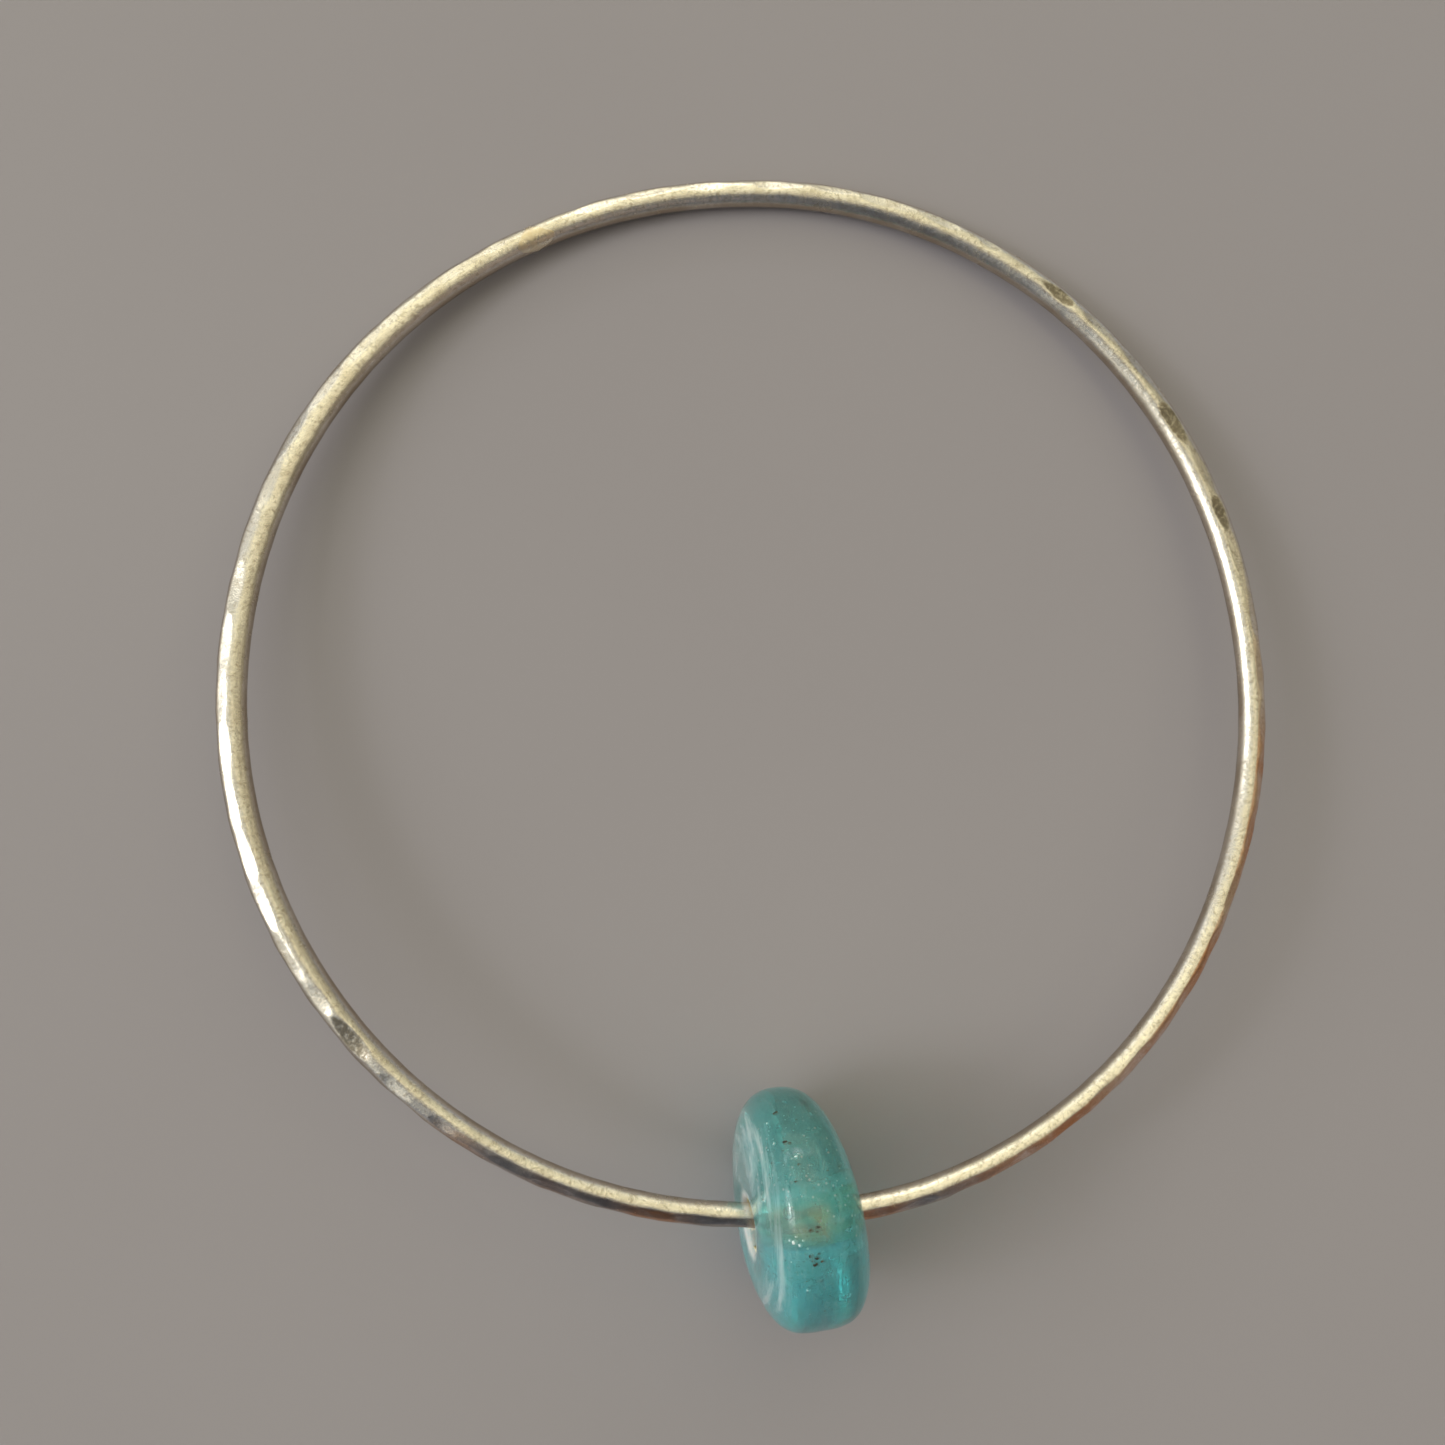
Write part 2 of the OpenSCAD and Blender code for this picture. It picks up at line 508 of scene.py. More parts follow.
def build_solder(mat, n=41, m=56):
    """The bridge between the wire's two ends, and the skin of solder that ran out over them: wide on
    the inner side of the hoop, a narrow line on the outer side. Its edges dip under the wire's skin."""
    psi = np.linspace(0, 360, m, endpoint=False)
    s = np.linspace(-1, 1, n)
    # half width in mm, by roll: widest on the upper inner side
    half = 0.20 + 1.10 * smoothstep(0.35, 1.0, np.cos(np.radians(psi - 118)))
    half = half * (1 + 0.16 * np.sin(np.radians(psi * 3 + 40)) + 0.10 * np.sin(np.radians(psi * 7)))
    az = SEAM_AZ + np.degrees(s[:, None] * half[None, :] / HOOP_R)
    flat_az = ((az + 180) % 360 - 180)
    rho = np.zeros_like(az)
    for j in range(m):
        rj, _, _ = wire_section(flat_az[:, j : j + 1], psi[None, j : j + 1])
        rho[:, j] = rj[:, 0] + wire_waves(flat_az[:, j : j + 1], psi[None, j : j + 1])[:, 0]
    lift = 0.016 * (1 - np.abs(s) ** 3)[:, None] - 0.03 * smoothstep(0.86, 1.0, np.abs(s))[:, None]
    lift = lift + 0.006 * np.sin(az * 61.0) * np.cos(np.radians(psi * 5))[None, :] * (1 - s[:, None] ** 2)
    # a faint groove where the ends meet
    groove = -0.020 * np.exp(-((s[:, None] * half[None, :]) / 0.06) ** 2) * (0.4 + 0.6 * (np.cos(np.radians(psi)) > -0.2))[None, :]
    rho = rho + lift + groove
    stray = periodic(STRAY, flat_az)
    p = np.radians(psi)[None, :]
    pts = hoop_point(flat_az, HOOP_R + stray + rho * np.cos(p), rho * np.sin(p))
    verts = pts.reshape(-1, 3)
    faces = grid_faces(n, m)
    first = len(verts)
    caps = [
        hoop_point(np.array([SEAM_AZ + sgn * 0.18]), np.array([HOOP_R + float(stray[n // 2, 0])]), np.array([0.0]))[0]
        for sgn in (-1, 1)
    ]
    verts = np.vstack([verts, np.array(caps)])
    for j in range(m):
        j2 = (j + 1) % m
        faces.append((first, j2, j))
        faces.append((first + 1, (n - 1) * m + j, (n - 1) * m + j2))
    return mesh_object("solder_joint", verts, faces, mat)


silver = silver_material()
wire = build_wire()
wire.data.materials.append(silver)
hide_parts("hoop_wire")
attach(wire, "hoop")

solder = build_solder(solder_material())
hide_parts("solder_seam")
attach(solder, "hoop")

# ---------------------------------------------------------------- glass bead
# Bead coordinates: x along the hole (the row's +X), and an angle v round it, 0 away from the
# hoop's middle, 90 up along the hoop's axis, 180 towards the hoop's middle.
OUT = -EY  # away from the hoop's middle, at the bead
BORE_R = 1.60


OFF_CENTRE = 0.70
BEAD_TIP = 3.4  # the loose bead leans on the wire, its -X face turned up by this many degrees
TIP_C, TIP_S = math.cos(math.radians(BEAD_TIP)), math.sin(math.radians(BEAD_TIP))
BEAD_YAW = 3.5  # and turned flat by this many, its far side towards +X
YAW_C, YAW_S = math.cos(math.radians(BEAD_YAW)), math.sin(math.radians(BEAD_YAW))
BX = TIP_C * EX - TIP_S * EZ  # along the leaning bead's hole
BZ = TIP_S * EX + TIP_C * EZ  # up in the leaning bead
BX, BY = YAW_C * BX - YAW_S * OUT, YAW_S * BX + YAW_C * OUT  # BY is away from the hoop's middle


def bead_place(x, away, high):
    """Points in the row frame from mm along the hole, away from the hoop's middle, and up."""
    x, away, high = (np.asarray(q, float) * MM for q in (x, away, high))
    return BEAD_O + x[..., None] * BX + away[..., None] * BY + high[..., None] * BZ


def bead_point(x, r, v):
    """The same from mm along the hole and out from it, and degrees round it."""
    a = np.radians(v)
    x, r = np.asarray(x, float), np.asarray(r, float)
    return bead_place(x + 0 * r * a, r * np.cos(a), r * np.sin(a))


def bead_rim(v):
    """The disc's radius by angle, mm: hand-wound glass isn't quite round."""
    a = np.radians(v)
    return BEAD_R * (1.007 + 0.006 * np.cos(a - 0.6) + 0.004 * np.cos(2 * a + 1.0) + 0.002 * np.cos(3 * a))


def bead_fat(v):
    """How thick the disc is by angle, against its mean."""
    a = np.radians(v)
    return 1.0 + 0.05 * np.cos(a - 0.10) + 0.01 * np.cos(2 * a + 0.5)


def bead_profile(n_out=112, n_lip=7, n_bore=22):
    """The closed outline in (distance from the axis as a share, x in mm): out over both faces and back
    through the bore. Each entry is (kind, r, x) with kind 0 on the outside and 1 in the bore."""
    t = np.linspace(0, 1, n_out)
    # from the left lip over the rim to the right lip
    ang = np.pi * t
    r_lip = BORE_R + 0.42
    out = []
    for a in ang:
        s = math.sin(a)
        r = r_lip + (BEAD_R - r_lip) * s ** 0.92 if s > 0 else r_lip
        side = -1 if a < math.pi / 2 else 1
        half = 3.45 * max(0.0, 1 - (min(r, BEAD_R) / BEAD_R) ** 2.8) ** 0.4
        half -= 0.45 * max(0.0, 1 - (r / (0.62 * BEAD_R)) ** 2) ** 2
        out.append((0, r, side * half))
    h0 = abs(out[0][2])
    for k in range(1, n_lip):
        q = k / n_lip * math.pi / 2
        out.append((1, BORE_R + 0.42 * (1 - math.sin(q)), h0 - 0.40 * (1 - math.cos(q))))
    for k in range(n_bore):
        out.append((1, BORE_R, (h0 - 0.40) * (1 - 2 * k / (n_bore - 1))))
    for k in range(n_lip - 1, 0, -1):
        q = k / n_lip * math.pi / 2
        out.append((1, BORE_R + 0.42 * (1 - math.sin(q)), -(h0 - 0.40 * (1 - math.cos(q)))))
    return out


def build_disc(mat, nv=176):
    prof = bead_profile()
    kind = np.array([p[0] for p in prof])
    r0 = np.array([p[1] for p in prof])
    x0 = np.array([p[2] for p in prof])
    v = np.linspace(0, 360, nv, endpoint=False)[:, None]
    rim, fat = bead_rim(v), bead_fat(v)
    share = np.clip((r0 - BORE_R) / (BEAD_R - BORE_R), 0, 1)[None, :]
    r = r0[None, :] * (1 + (rim / BEAD_R - 1) * share)
    x = x0[None, :] * (1 + (fat - 1) * smoothstep(0.0, 0.6, share))
    # the far side is blunter than the side towards the hoop's middle
    near_rim = np.maximum(1 - (np.minimum(r0, BEAD_R) / BEAD_R) ** 2.8, 1e-4)[None, :]
    x = x * near_rim ** (1 / (2.95 + 0.5 * np.cos(np.radians(v))) - 0.4)
    # the rim isn't quite square to the hole
    x = x + 0.045 * r * np.cos(np.radians(v)) * smoothstep(0.0, 0.3, share)
    # wound glass: shallow rounds along the rim, and slow swells
    bump = np.zeros_like(r)
    for i in range(nv):
        a = math.radians(float(v[i, 0]))
        for j in range(len(prof)):
            if kind[j]:
                continue
            q = Vector((x0[j] * 0.42, r0[j] * math.cos(a) * 0.20, r0[j] * math.sin(a) * 0.20))
            bump[i, j] = 0.085 * noise.noise(q + Vector((3.1, 7.7, 1.3)))
            w = Vector((x0[j] * 1.5, a * 0.9, 4.0 + r0[j] * 0.3))
            bump[i, j] += 0.014 * noise.noise(w)
    ramp = smoothstep(0.02, 0.25, share)
    r = r + bump * ramp * (0.25 + 0.75 * share)
    x = x + np.sign(x0)[None, :] * bump * ramp * (1 - share)
    # the hole isn't quite in the middle: the glass is shifted towards the hoop's middle
    away = r * np.cos(np.radians(v)) - OFF_CENTRE * smoothstep(0.0, 0.5, share)
    high = r * np.sin(np.radians(v))
    pts = bead_place(x, away, high)
    pts[..., 2] = np.maximum(pts[..., 2], 0.0)
    verts = pts.reshape(-1, 3)
    ob = mesh_object("glass_disc", verts, grid_faces(nv, len(prof), wrap_n=True), mat)
    bm = bmesh.new()
    bm.from_mesh(ob.data)
    bmesh.ops.recalc_face_normals(bm, faces=bm.faces)
    bm.to_mesh(ob.data)
    bm.free()
    return ob


def glass_material():
    k = Mat("teal_lampworked_glass")
    obj = k.coord("Object")
    # bead coordinates for the pattern, in mm: across the hoop and along its axis
    loc = k.node("ShaderNodeVectorMath", operation="SUBTRACT")
    k.nt.links.new(obj.s, loc.inputs[0])
    loc.inputs[1].default_value = tuple(BEAD_O)
    local = Sock(k.nt, loc.outputs[0])
    dots = []
    for axis in (BX, BY, BZ):
        n = k.node("ShaderNodeVectorMath", operation="DOT_PRODUCT")
        k.nt.links.new(local.s, n.inputs[0])
        n.inputs[1].default_value = tuple(axis / MM)
        dots.append(Sock(k.nt, n.outputs["Value"]))
    x, out, up = dots
    cloud = k.noise(obj, 260.0, 4.0, 0.6, 1.2)
    wind = k.noise(k.scaled(obj, (3.2, 0.8, 0.8)), 420.0, 3.0, 0.55, 0.5)
    seed = k.noise(obj, 2600.0, 3.0, 0.65)
    far = out.rise(-1.5, 2.0)  # 0 on the hoop's side, 1 on the far side
    # painted light: the far side lighter and bluer, the hoop's side darker teal, standing in for lit and shaded floor
    # seen through the glass
    col = k.mix(far, (0.27, 0.70, 0.70), (0.27, 0.84, 0.92))
    col = k.mix(cloud.rise(0.42, 0.72, 0.0, 0.55), col, (0.15, 0.50, 0.50))
    swirl = k.noise(k.scaled(obj, (1.6, 1, 1)), 1100.0, 5.0, 0.68, 2.2)
    col = k.mix(swirl.rise(0.50, 0.66, 0.0, 0.50), col, (0.13, 0.42, 0.43))
    col = k.mix(swirl.rise(0.44, 0.34, 0.0, 0.42), col, (0.46, 0.86, 0.88))
    # the yellowish core shows where the hole runs close under the rim
    core = (out + 1.1).absolute().rise(1.5, 0.4) * x.rise(1.0, -0.4) * x.rise(-3.2, -2.5) * up.rise(2.0, 4.5)
    col = k.mix(core * cloud.rise(0.30, 0.55, 0.25, 0.75), col, (0.66, 0.68, 0.42))
    # streaks along both shoulders: bluish white on the -X shoulder, partly cloudy glass and partly a painted
    # reflection of the window; turquoise, wound into the glass, on the +X shoulder
    thread = k.noise(k.scaled(obj, (7.5, 0.55, 0.55), (0.02, 0, 0)), 330.0, 4.0, 0.6, 0.35)
    milky_and_reflection = x.rise(-1.9, -2.7) * thread.rise(0.40, 0.66, 0.08, 0.85)
    col = k.mix(milky_and_reflection, col, (0.84, 0.95, 1.0))
    col = k.mix(x.rise(1.75, 2.0) * thread.rise(0.34, 0.60, 0.2, 0.8), col, (0.52, 0.93, 0.94))
    col = k.mix(wind.rise(0.58, 0.76, 0.0, 0.4), col, (0.60, 0.90, 0.93))
    # seeds: tiny pale dots, thickest on the hoop's side
    dots = k.cells(obj, 2300.0).rise(0.24, 0.08) * cloud.rise(0.38, 0.54) * far.rise(0.9, 0.1, 0.25, 1.0)
    col = k.mix(dots * 0.85, col, (0.84, 0.97, 0.96))
    col = k.mix(seed.rise(0.58, 0.72, 0.0, 0.35), col, (0.66, 0.88, 0.88))
    # painted glint: a chalky white band where the hole opens, where light catches the lip by the wire
    lip = (out * out + up * up).power(0.5).rise(2.40, 1.80) * x.absolute().rise(2.2, 2.7)
    col = k.mix(lip * seed.rise(0.30, 0.55, 0.5, 1.0), col, (0.94, 0.98, 0.97))
    # less clear under the bluish white streaks and under the painted glint at the hole
    clear = (cloud.rise(0.3, 0.75, 0.76, 0.62) - milky_and_reflection * 0.30 - lip * 0.40).maximum(0.0)
    rough = seed.rise(0.4, 0.8, 0.03, 0.12)
    n1 = k.bump(wind, 0.25, 0.00012)
    n2 = k.bump(seed, 0.12, 0.00003, n1)
    m = k.principled(
        Base_Color=col,
        Metallic=0.0,
        Roughness=rough,
        IOR=1.5,
        Transmission_Weight=clear,
        Normal=n2,
    )
    take = k.node("ShaderNodeVolumeAbsorption")
    take.inputs["Color"].default_value = (0.08, 0.93, 0.96, 1.0)
    take.inputs["Density"].default_value = 80.0
    k.nt.links.new(take.outputs[0], k.out.inputs["Volume"])
    return m


disc = build_disc(glass_material())
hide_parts("glass_bead")
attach(disc, "bead")


# ---------------------------------------------------------------- what is in the glass
def blob(bm, centre, radius, rough=0.0, stretch=(1, 1, 1), seed=0, level=2):
    """One small closed ball, uneven by rough, at a place in metres."""
    made = bmesh.ops.create_icosphere(bm, subdivisions=level, radius=1.0)
    for vert in made["verts"]:
        d = 1 + rough * noise.noise(vert.co * 1.7 + Vector((seed * 3.1, 0, 0)))
        c = vert.co * d
        vert.co = Vector(
            (
                centre[0] + c.x * radius * stretch[0],
                centre[1] + c.y * radius * stretch[1],
                centre[2] + c.z * radius * stretch[2],
            )
        )


def bmesh_object(name, bm, mat):
    me = bpy.data.meshes.new(name)
    bm.to_mesh(me)
    bm.free()
    me.shade_smooth()
    ob = bpy.data.objects.new(name, me)
    bpy.context.collection.objects.link(ob)
    me.materials.append(mat)
    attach(ob, "bead")
    return ob


def inside(x, r, v):
    """Whether a place in the bead is clear of its skin and its bore, in mm and degrees."""
    if r < BORE_R + 0.35:
        return False
    # the rim's middle isn't the hole's
    r = math.hypot(r * math.cos(math.radians(v)) + OFF_CENTRE, r * math.sin(math.radians(v)))
    if r > BEAD_R - 0.45:
        return False
    half = 3.3 * (1 - (r / BEAD_R) ** 2.5) ** 0.5 * 0.92 - 0.40 * max(0.0, 1 - (r / (0.62 * BEAD_R)) ** 2) ** 2
    return abs(x) < half - 0.35


def bubble_material():
    k = Mat("air_bubble")
    obj = k.coord("Object")
    n = k.noise(obj, 3000.0, 2.0)
    return k.principled(
        Base_Color=(0.95, 1.0, 1.0),
        Roughness=n.rise(0.3, 0.7, 0.0, 0.05),
        IOR=0.667,
        Transmission_Weight=1.0,
    )


skin = BVHTree.FromPolygons([v.co for v in disc.data.vertices], [tuple(p.vertices) for p in disc.data.polygons])


def under_skin(x, away, size, stretch=(1, 1, 1), cover=1.4):
    """Where a ball of that size and stretch goes, in the glass that faces up, from mm along the hole and away
    from the disc's middle. A cover over 1 leaves it wholly in the glass; a small one leaves it melted half in,
    its top standing out by about a tenth of a millimetre."""
    x, away = x - 1.2, away * 0.92 - 1.25  # the rim leans over, so what shows in its middle lies this much back
    for _ in range(12):
        start = bead_place(np.array(x + 0.045 * away), np.array(away - OFF_CENTRE), np.array(20.0))
        hit, normal, _, _ = skin.ray_cast(Vector(start), Vector(-BZ))
        # a steep edge has too little glass under it
        if hit is not None and abs(normal.dot(Vector(BZ))) > 0.35:
            break
        x, away = x * 0.93, away * 0.97
    if normal.dot(Vector(BZ)) < 0:
        normal = -normal
    reach = size * math.sqrt(sum((normal[i] * stretch[i]) ** 2 for i in range(3)))
    return np.array(hit - normal * (cover * reach + 0.02) * MM)


def build_bubbles():
    r3 = random.Random(21)
    bm = bmesh.new()
    count = 0
    while count < 110:
        x, r, v = r3.uniform(-3, 3), r3.uniform(1.8, 7.0), r3.uniform(0, 360)
        if not inside(x, r, v):
            continue
        size = 0.03 + 0.11 * r3.random() ** 4
        c = bead_point(np.array(x), np.array(r), np.array(v))
        blob(bm, c, size * MM, stretch=(1, 1 + 0.2 * r3.random(), 1), level=2)
        count += 1
    for x, away, size in [
        (-0.85, 0.10, 0.34), (-0.6, -5.3, 0.13), (-0.9, -4.0, 0.12), (0.5, -3.4, 0.24), (1.1, -5.0, 0.08),
        (0.2, -4.5, 0.07), (-0.4, -2.2, 0.09), (1.3, -2.6, 0.07), (1.4, 3.2, 0.08),
    ]:
        blob(bm, under_skin(x, away, size, (1, 1.15, 1), 1.18), size * MM, 0.15, (1, 1.15, 1), seed=int(size * 100), level=3)
    return bmesh_object("air_bubbles", bm, bubble_material())


def speck_material():
    k = Mat("dark_inclusion")
    obj = k.coord("Object")
    n = k.noise(obj, 4000.0, 4.0, 0.6)
    col = k.mix(n.rise(0.4, 0.65), (0.012, 0.013, 0.010), (0.10, 0.07, 0.03))
    return k.principled(Base_Color=col, Roughness=n.rise(0.3, 0.7, 0.5, 0.85), Normal=k.bump(n, 0.5, 0.00003))


def build_specks():
    r4 = random.Random(5)
    bm = bmesh.new()
    # along the hole, away from the disc's middle and size of the larger ones
    for i, (x, away, size) in enumerate([
        (0.20, -5.65, 0.15), (0.10, -4.06, 0.16), (0.34, -4.0, 0.10), (0.50, -2.76, 0.10), (0.10, -1.80, 0.11),
        (0.36, 1.20, 0.12), (0.80, 1.05, 0.13), (0.70, 1.30, 0.08), (0.15, 2.80, 0.12), (0.50, 2.95, 0.13),
        (0.40, 3.35, 0.14), (0.75, 3.20, 0.10), (0.62, 2.70, 0.08), (0.25, 3.10, 0.09), (1.2, -5.2, 0.07),
        (-0.9, -2.9, 0.07), (1.0, -1.3, 0.08), (-0.2, 4.4, 0.07),
    ]):
        flat = (1.3, 0.9, 0.45)
        blob(bm, under_skin(x, away, size, flat, 0.5), size * MM, 0.5, flat, seed=i, level=3)
    count = 0
    while count < 46:
        x, r, v = r4.uniform(-3, 3), r4.uniform(1.7, 6.9), r4.uniform(0, 360)
        if not inside(x, r, v):
            continue
        c = bead_point(np.array(x), np.array(r), np.array(v))
        blob(bm, c, r4.uniform(0.02, 0.06) * MM, 0.6, (1.4, 1, 0.8), seed=count, level=1)
        count += 1
    return bmesh_object("dark_inclusions", bm, speck_material())


def build_seeds_and_glints():
    r5 = random.Random(31)
    bm = bmesh.new()
    # the first six, clustered on the far side, are a painted glint standing in for glinting bubbles; the rest are
    # pale seeds
    spots = [(-0.62, 1.85, 0.17), (-0.36, 2.05, 0.13), (-0.85, 1.72, 0.11), (-0.15, 1.75, 0.09), (0.02, 2.28, 0.07),
             (-0.5, 1.5, 0.08), (-0.2, 5.05, 0.11), (0.0, 4.4, 0.06), (-0.6, -5.3, 0.09), (-0.5, -4.0, 0.09),
             (0.45, -3.2, 0.12), (0.62, -3.35, 0.09), (-0.9, 3.1, 0.07)]
    listed = len(spots)
    for _ in range(34):
        spots.append((r5.uniform(-1.5, 1.5), r5.uniform(-6.0, -0.8), r5.uniform(0.025, 0.055)))
    for i, (x, away, size) in enumerate(spots):
        flat = (1.2, 1.0, 0.5)
        blob(bm, under_skin(x, away, size, flat, 0.5 if i < listed else 1.4), size * MM, 0.4, flat, seed=i, level=2)
    k = Mat("seed_and_glint_spots")
    n = k.noise(k.coord("Object"), 4000.0, 3.0, 0.6)
    col = k.mix(n.rise(0.4, 0.65), (0.62, 0.86, 0.90), (0.90, 0.98, 1.0))
    return bmesh_object("seeds_and_glints", bm, k.principled(Base_Color=col, Roughness=n.rise(0.3, 0.7, 0.2, 0.45)))


def lining_material():
    k = Mat("bead_release")
    obj = k.coord("Object")
    n = k.noise(obj, 1800.0, 5.0, 0.65, 0.5)
    col = k.mix(n.rise(0.38, 0.62), (0.82, 0.76, 0.44), (0.95, 0.93, 0.80))
    return k.principled(Base_Color=col, Roughness=n.rise(0.3, 0.7, 0.7, 0.95), Normal=k.bump(n, 0.7, 0.00006))


def build_lining(mat, nv=72, nx=40):
    """A worn film of bead release left on the wall of the hole: a thin closed sleeve with holes worn
    through it, standing just proud of the glass."""
    h = 2.90
    xs = np.linspace(-h, h, nx)
    v = np.linspace(0, 360, nv, endpoint=False)
    # the hole's own outline, flaring at both ends
    bore = sorted((p[2], p[1]) for p in bead_profile() if p[0])
    wall = np.interp(xs, [p[0] for p in bore], [p[1] for p in bore])
    verts, faces, idx = [], [], {}

    def corner(i, j, k):
        key = (i % nv, j, k)
        if key not in idx:
            idx[key] = len(verts)
            r = wall[j] - (0.004 if k == 0 else 0.024)
            verts.append(bead_point(np.array(xs[j]), np.array(r), np.array(v[i % nv])))
        return idx[key]

    keep = np.zeros((nv, nx - 1), bool)
    for i in range(nv):
        for j in range(nx - 1):
            a = math.radians(v[i])
            q = Vector((xs[j] * 0.9, math.cos(a) * 1.3, math.sin(a) * 1.3))
            keep[i, j] = noise.noise(q + Vector((9.0, 2.0, 5.0))) > -0.26
    # pieces joined only at a corner would leave an edge with four faces
    for _ in range(3):
        for i in range(nv):
            for j in range(nx - 2):
                i2 = (i + 1) % nv
                a, b, c, d = keep[i, j], keep[i2, j], keep[i, j + 1], keep[i2, j + 1]
                if (a and d and not b and not c) or (b and c and not a and not d):
                    keep[i, j] = keep[i2, j] = keep[i, j + 1] = keep[i2, j + 1] = True
    for i in range(nv):
        for j in range(nx - 1):
            if not keep[i, j]:
                continue
            i2 = i + 1
            faces.append((corner(i, j, 0), corner(i, j + 1, 0), corner(i2, j + 1, 0), corner(i2, j, 0)))
            faces.append((corner(i, j, 1), corner(i2, j, 1), corner(i2, j + 1, 1), corner(i, j + 1, 1)))
            if not keep[(i - 1) % nv, j]:
                faces.append((corner(i, j, 0), corner(i, j, 1), corner(i, j + 1, 1), corner(i, j + 1, 0)))
            if not keep[(i + 1) % nv, j]:
                faces.append((corner(i2, j, 0), corner(i2, j + 1, 0), corner(i2, j + 1, 1), corner(i2, j, 1)))
            if j == 0 or not keep[i, j - 1]:
                faces.append((corner(i, j, 0), corner(i2, j, 0), corner(i2, j, 1), corner(i, j, 1)))
            if j == nx - 2 or not keep[i, j + 1]:
                faces.append((corner(i, j + 1, 0), corner(i, j + 1, 1), corner(i2, j + 1, 1), corner(i2, j + 1, 0)))
    ob = mesh_object("bore_lining", verts, faces, mat)
    bm = bmesh.new()
    bm.from_mesh(ob.data)
    bmesh.ops.recalc_face_normals(bm, faces=bm.faces)
    bm.to_mesh(ob.data)
    bm.free()
    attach(ob, "bead")
    return ob


build_bubbles()
build_specks()
build_seeds_and_glints()
build_lining(lining_material())


# ---------------------------------------------------------------- floor
def floor_material():
    k = Mat("pale_floor")
    obj = k.coord("Object")
    n = k.noise(obj, 9.0, 4.0, 0.5)
    g = k.noise(obj, 900.0, 3.0, 0.6)
    col = k.mix(n.rise(0.3, 0.7), (0.358, 0.338, 0.364), (0.378, 0.358, 0.384))
    return k.principled(Base_Color=col, Roughness=0.55, Normal=k.bump(g, 0.06, 0.00005))


def build_floor():
    size, n = 6.0, 24
    xs = np.linspace(-size, size, n + 1)
    verts = [(x, y, 0.0) for y in xs for x in xs]
    faces = []
    for i in range(n):
        for j in range(n):
            a = i * (n + 1) + j
            faces.append((a, a + 1, a + n + 2, a + n + 1))
    ob = mesh_object("studio_floor", verts, faces, floor_material())


build_floor()


# ---------------------------------------------------------------- light
def world_light():
    k = Mat("studio", world=True)
    d = k.coord("Generated")
    n = k.node("ShaderNodeVectorMath", operation="NORMALIZE")
    k.nt.links.new(d.s, n.inputs[0])
    dirn = Sock(k.nt, n.outputs[0])

    def toward(az, el):
        a, e = math.radians(az), math.radians(el)
        v = (math.cos(a) * math.cos(e), math.sin(a) * math.cos(e), math.sin(e))
        m = k.node("ShaderNodeVectorMath", operation="DOT_PRODUCT")
        k.nt.links.new(dirn.s, m.inputs[0])
        m.inputs[1].default_value = v
        return Sock(k.nt, m.outputs["Value"])

    def patch(az, el, inner, outer):
        return toward(az, el).rise(math.cos(math.radians(outer)), math.cos(math.radians(inner)))

    z = toward(0, 90)
    # az: 180 is the left of the picture, 90 its top
    col = k.mix(z.rise(0.02, 0.40), (0.34, 0.36, 0.40), (0.18, 0.185, 0.20))
    col = k.mix(patch(-90, 40, 20, 50), col, (0.13, 0.135, 0.15))
    col = k.mix(patch(2, 36, 18, 48), col, (0.30, 0.26, 0.18))
    col = k.mix(patch(-42, 30, 10, 32), col, (0.27, 0.22, 0.18))
    col = k.mix(patch(0, 90, 8, 22), col, (0.17, 0.16, 0.165))
    col = k.mix(patch(30, 56, 16, 40), col, (0.78, 0.70, 0.48))
    col = k.mix(patch(24, 55, 7, 12), col, (0.10, 0.085, 0.06))
    col = k.mix(patch(95, 36, 24, 50), col, (1.02, 0.95, 0.66))
    bright = patch(125, 22, 35, 60) * z.rise(0.29, 0.33) * z.rise(0.44, 0.39)
    col = k.mix(bright, col, (2.3, 2.3, 2.25))
    col = k.mix(patch(178, 34, 18, 50), col, (1.00, 0.97, 0.84))
    col = k.mix(patch(178, 34, 10, 19), col, (5.0, 5.0, 4.95))
    col = k.mix(patch(177, 33, 3, 6), col, (28.0, 28.0, 27.5))
    col = k.mix(patch(-143, 51, 6, 11), col, (0.13, 0.14, 0.15))
    # a lived-in room above the horizon: soft lights and darks for the silver to pick up
    broken = k.noise(dirn, 3.2, 3.0, 0.55, 0.6).rise(0.36, 0.64, 0.45, 1.45)
    broken = (broken - 1.0) * z.rise(0.12, 0.35) + 1.0
    scale = k.node("ShaderNodeVectorMath", operation="SCALE")
    k.nt.links.new(col.s, scale.inputs[0])
    k.nt.links.new(broken.s, scale.inputs["Scale"])
    col = Sock(k.nt, scale.outputs[0])
    # the camera sees a plain pale wall behind the floor
    seen = Sock(k.nt, k.node("ShaderNodeLightPath").outputs["Is Camera Ray"])
    col = k.mix(seen, col, (0.50, 0.49, 0.48))
    bg = k.node("ShaderNodeBackground")
    k.put(bg.inputs["Color"], col)
    bg.inputs["Strength"].default_value = 1.0
    out = k.node("ShaderNodeOutputWorld")
    k.nt.links.new(bg.outputs[0], out.inputs["Surface"])
    bpy.context.scene.world = k.m


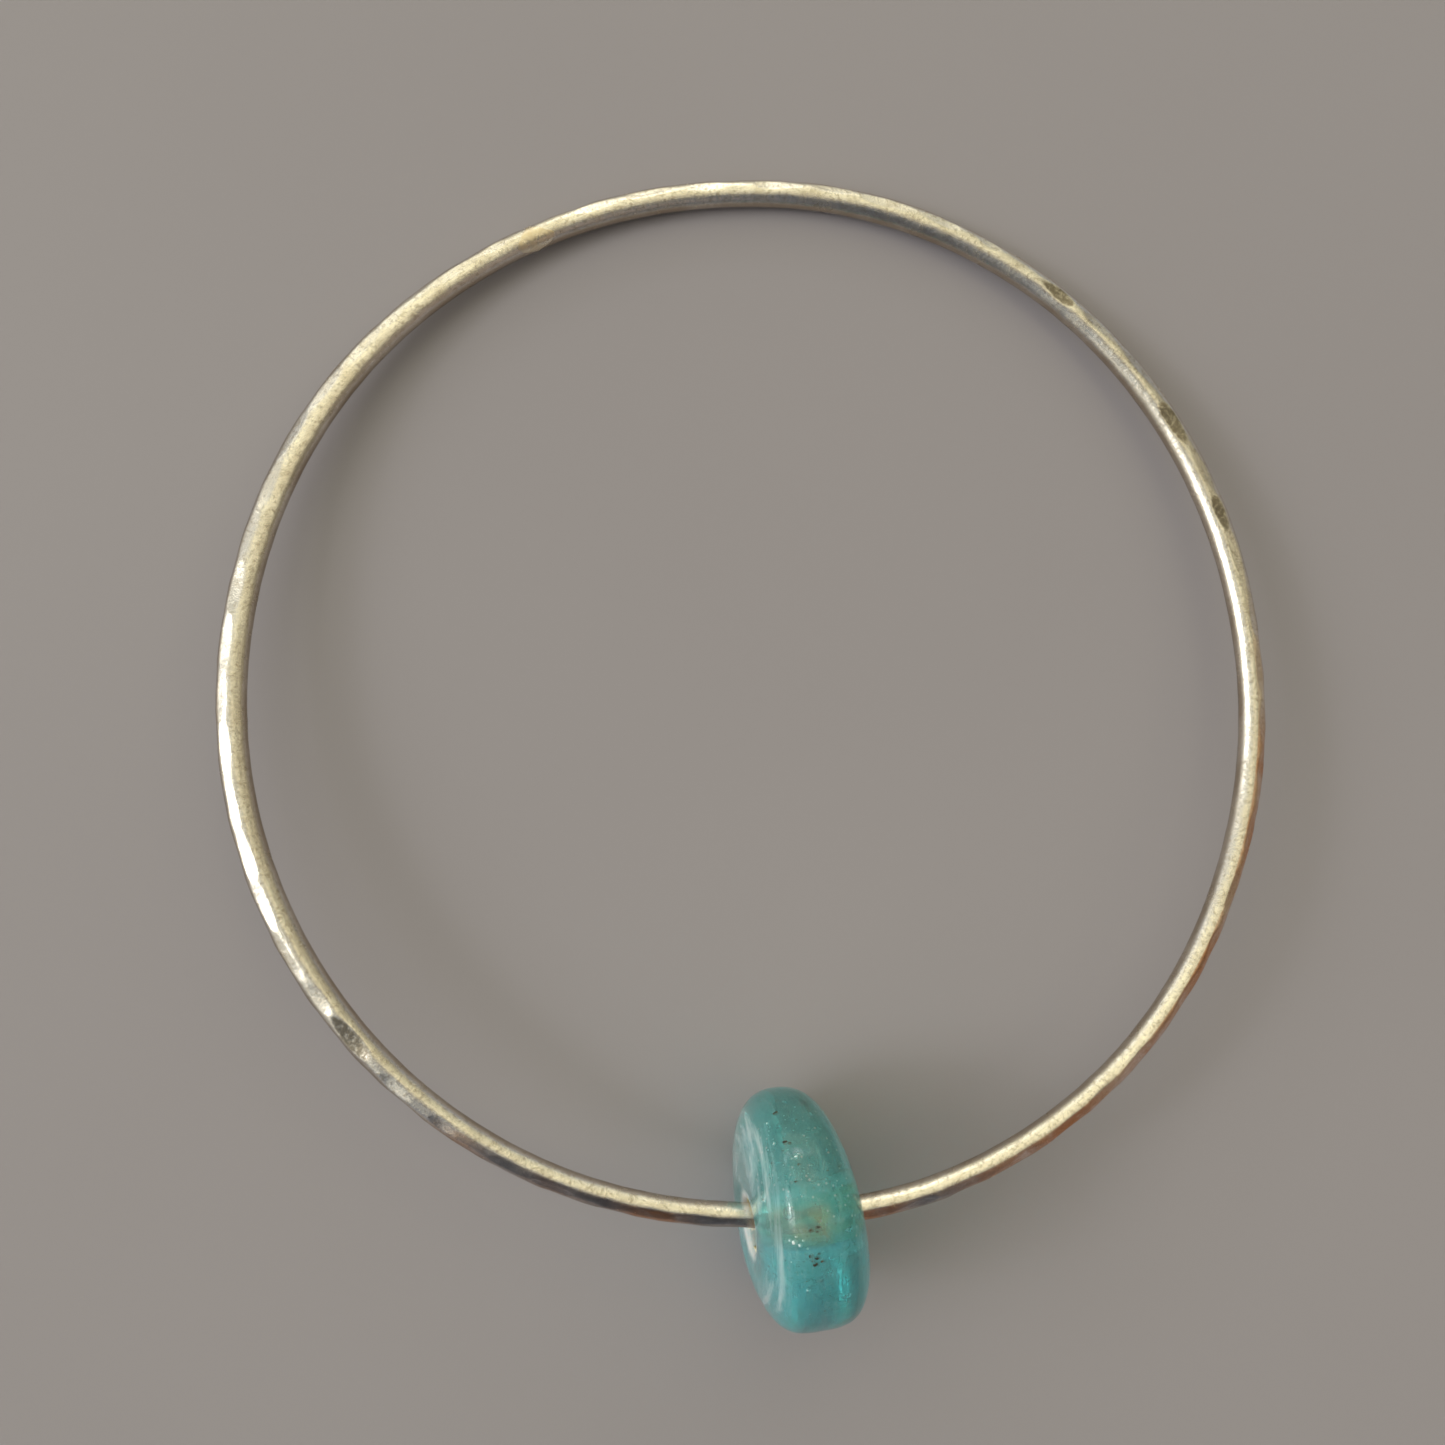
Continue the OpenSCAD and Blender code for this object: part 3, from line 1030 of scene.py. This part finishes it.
def area(name, az, el, dist, size, power, colour, size_y=None):
    light = bpy.data.lights.new(name, "AREA")
    light.shape = "RECTANGLE"
    light.size = size
    light.size_y = size_y or size
    light.energy = power
    light.color = colour
    ob = bpy.data.objects.new(name, light)
    a, e = math.radians(az), math.radians(el)
    p = Vector((math.cos(a) * math.cos(e), math.sin(a) * math.cos(e), math.sin(e))) * dist
    ob.location = p
    ob.rotation_euler = (-p).to_track_quat("-Z", "Y").to_euler()
    bpy.context.collection.objects.link(ob)
    return ob


world_light()
soft = area("window", 150, 52, 0.9, 0.40, 0.55, (1.0, 0.98, 0.95))
soft.visible_glossy = False
soft.visible_transmission = False

# ---------------------------------------------------------------- camera
# Where the hoop's middle is in front of the camera (mm right, up and away) and how its plane
# turns: top away from the camera by tilt, right side away by turn. The bead is at BEAD_T degrees
# clockwise from the top of the picture.
CAM_X, CAM_Y, CAM_D, TILT, TURN, BEAD_T, LENS = 2.720, 2.160, 100.95, 5.81, 7.3, 176.93, 38.96


def build_camera():
    a, b = math.radians(-TILT), math.radians(TURN)
    right = np.array([math.cos(b), 0, -math.sin(b)])
    up = np.array([0, math.cos(a), math.sin(a)])
    u, _, vt = np.linalg.svd(np.stack([right, up], 1), full_matrices=False)
    ru = u @ vt
    right, up = ru[:, 0], ru[:, 1]
    near = np.cross(right, up)

    def along(az):
        q = math.radians(az)
        return math.cos(q) * EX + math.sin(q) * EY

    world = np.stack([along(BEAD_T - 180), along(BEAD_T - 90), EZ], 1)
    rot = world @ np.stack([right, up, near], 1).T
    loc = HOOP_O - rot @ (np.array([CAM_X, CAM_Y, -CAM_D]) * MM)
    cam = bpy.data.cameras.new("camera")
    cam.lens = LENS
    cam.sensor_width = 36.0
    cam.clip_start = 0.004
    cam.clip_end = 40.0
    ob = bpy.data.objects.new("camera", cam)
    bpy.context.collection.objects.link(ob)
    m = Matrix([[*map(float, rot[i]), float(loc[i])] for i in range(3)] + [[0, 0, 0, 1]])
    ob.matrix_world = m
    bpy.context.scene.camera = ob


build_camera()
bpy.context.scene.view_settings.view_transform = "Standard"
bpy.context.scene.view_settings.look = "None"
